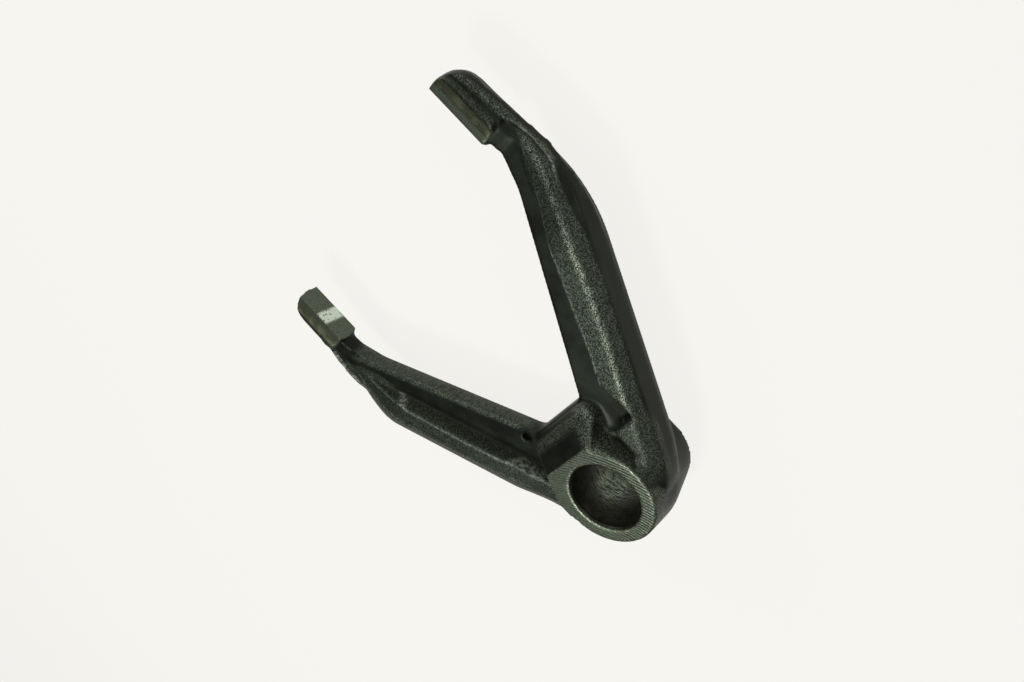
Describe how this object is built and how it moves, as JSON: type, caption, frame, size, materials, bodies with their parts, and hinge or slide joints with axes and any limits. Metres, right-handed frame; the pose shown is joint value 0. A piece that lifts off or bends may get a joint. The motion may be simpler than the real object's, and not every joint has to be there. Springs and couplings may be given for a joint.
{
  "type": "shift fork",
  "caption": "Forged steel shift fork with a bored hub, two ribbed arms spread in a V and two milled pads at the tips.",
  "frame": {"origin": "on the bore axis at the hub's back face", "axes": "+Z along the bore from the back face to the front face, +Y from the hub towards the pads, +X towards the right arm seen from the front"},
  "size_m": [0.1332, 0.1399, 0.029],
  "materials": {
    "forged_steel": "oiled as-forged scale, milled and bored faces bright"
  },
  "bodies": {
    "root": {"shift_fork": "forged_steel"}
  },
  "joints": []
}
